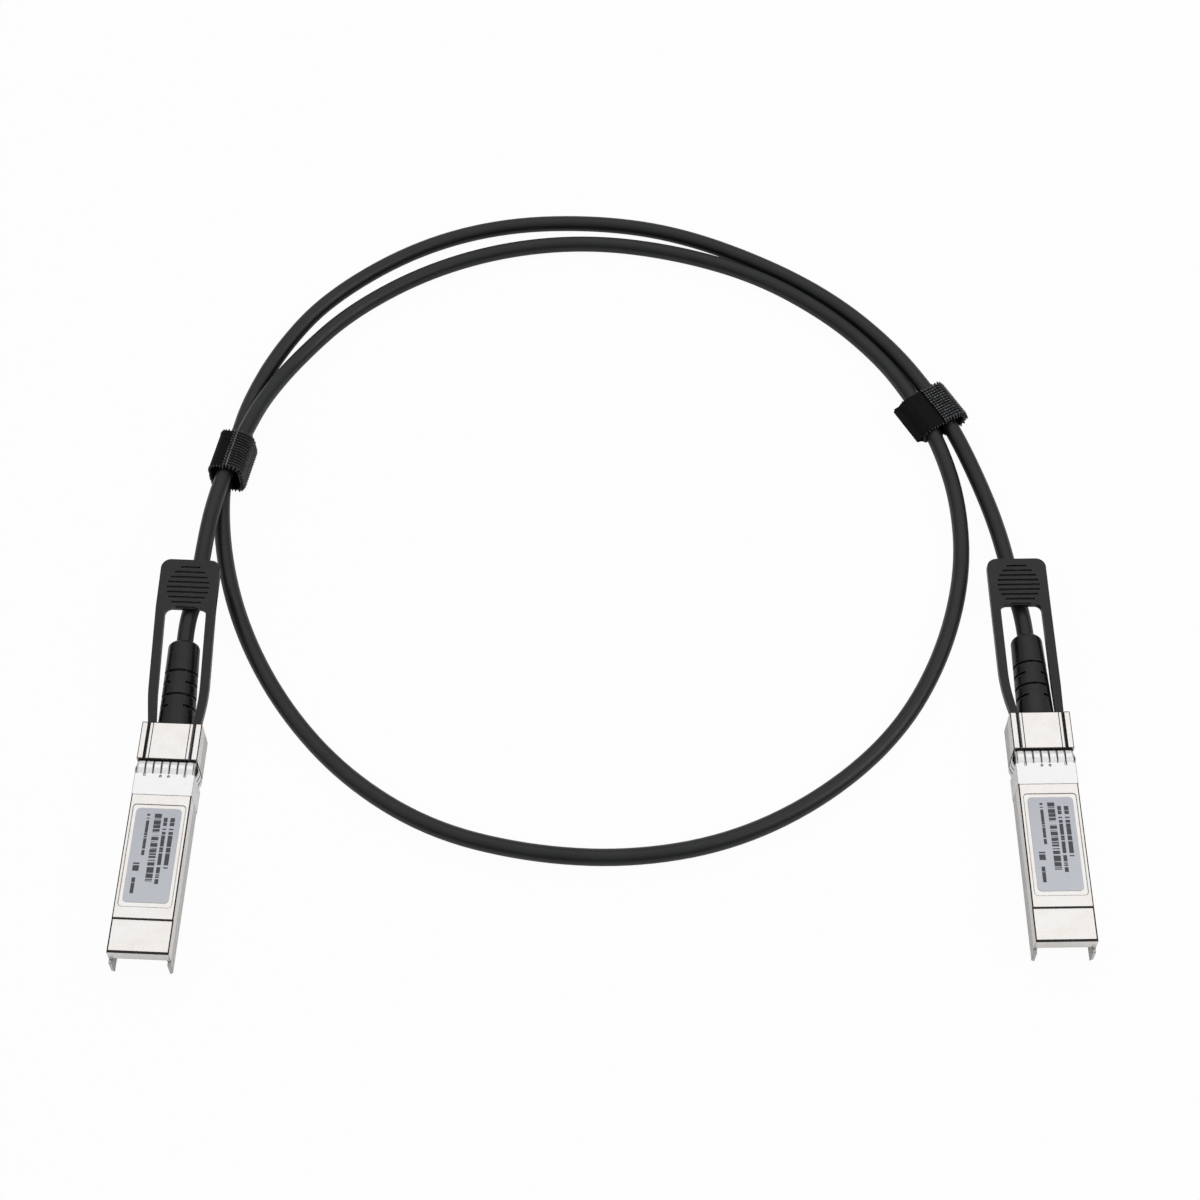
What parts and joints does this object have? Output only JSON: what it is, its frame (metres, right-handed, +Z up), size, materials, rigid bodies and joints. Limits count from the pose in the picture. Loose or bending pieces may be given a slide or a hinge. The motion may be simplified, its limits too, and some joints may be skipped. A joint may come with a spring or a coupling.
{
  "type": "direct attach copper cable",
  "caption": "Short network link cable: two plug-in transceiver-style metal modules with pull-tab latches, joined by a coiled black twinaxial cable held by hook-and-loop ties.",
  "frame": {"origin": "centre of the two modules' common box, at the table the cable lies on", "axes": "+X from the left module to the right one, +Y from the modules' noses towards the far side of the cable's loop, +Z up, out of the labels"},
  "size_m": [0.2122, 0.2108, 0.0122],
  "materials": {
    "shell_metal": "nickel plated die-cast zinc, satin bright",
    "collar_steel": "thin bright stainless sheet",
    "board_laminate": "green glass-epoxy laminate with solder resist",
    "contact_gold": "gold flashed contact pads",
    "chip_resin": "matt black moulded resin",
    "capacitor_ceramic": "matt tan ceramic",
    "lead_insulation": "foil-wrapped twin lead, dull silver",
    "ferrule_copper": "crimped copper sleeve",
    "boot_plastic": "matt black moulded elastomer",
    "label_film": "silver grey polyester film, satin",
    "screw_steel": "plated steel",
    "slider_steel": "stamped stainless sheet",
    "spring_steel": "spring steel wire",
    "tab_plastic": "matt black moulded plastic",
    "tie_fabric": "black woven hook-and-loop tape",
    "jacket_plastic": "satin-matt black cable jacket"
  },
  "bodies": {
    "cable_assembly": {"left_top_shell": "shell_metal", "left_bottom_shell": "shell_metal", "left_emi_collar": "collar_steel", "left_circuit_board": "board_laminate", "left_edge_contacts": "contact_gold", "left_memory_chip": "chip_resin", "left_coupling_capacitors": "capacitor_ceramic", "left_cable_leads": "lead_insulation", "left_crimp_ferrule": "ferrule_copper", "left_strain_relief": "boot_plastic", "left_label": "label_film", "left_shell_screws": "screw_steel", "left_latch_springs": "spring_steel", "left_tie": "tie_fabric", "right_top_shell": "shell_metal", "right_bottom_shell": "shell_metal", "right_emi_collar": "collar_steel", "right_circuit_board": "board_laminate", "right_edge_contacts": "contact_gold", "right_memory_chip": "chip_resin", "right_coupling_capacitors": "capacitor_ceramic", "right_cable_leads": "lead_insulation", "right_crimp_ferrule": "ferrule_copper", "right_strain_relief": "boot_plastic", "right_label": "label_film", "right_shell_screws": "screw_steel", "right_latch_springs": "spring_steel", "right_tie": "tie_fabric", "cable_jacket": "jacket_plastic"},
    "left_release": {"left_pull_tab": "tab_plastic", "left_release_slider": "slider_steel"},
    "right_release": {"right_pull_tab": "tab_plastic", "right_release_slider": "slider_steel"}
  },
  "joints": [
    {"name": "left_release_pull", "type": "slide", "parent": "cable_assembly", "child": "left_release", "axis": [0.0461, 0.9989, 0], "range_m": [0, 0.002], "stiffness_N_per_m": 800, "springref_m": -0.001, "deforming": ["left_latch_springs"]},
    {"name": "right_release_pull", "type": "slide", "parent": "cable_assembly", "child": "right_release", "axis": [-0.015, 0.9999, 0], "range_m": [0, 0.002], "stiffness_N_per_m": 800, "springref_m": -0.001, "deforming": ["right_latch_springs"]}
  ]
}
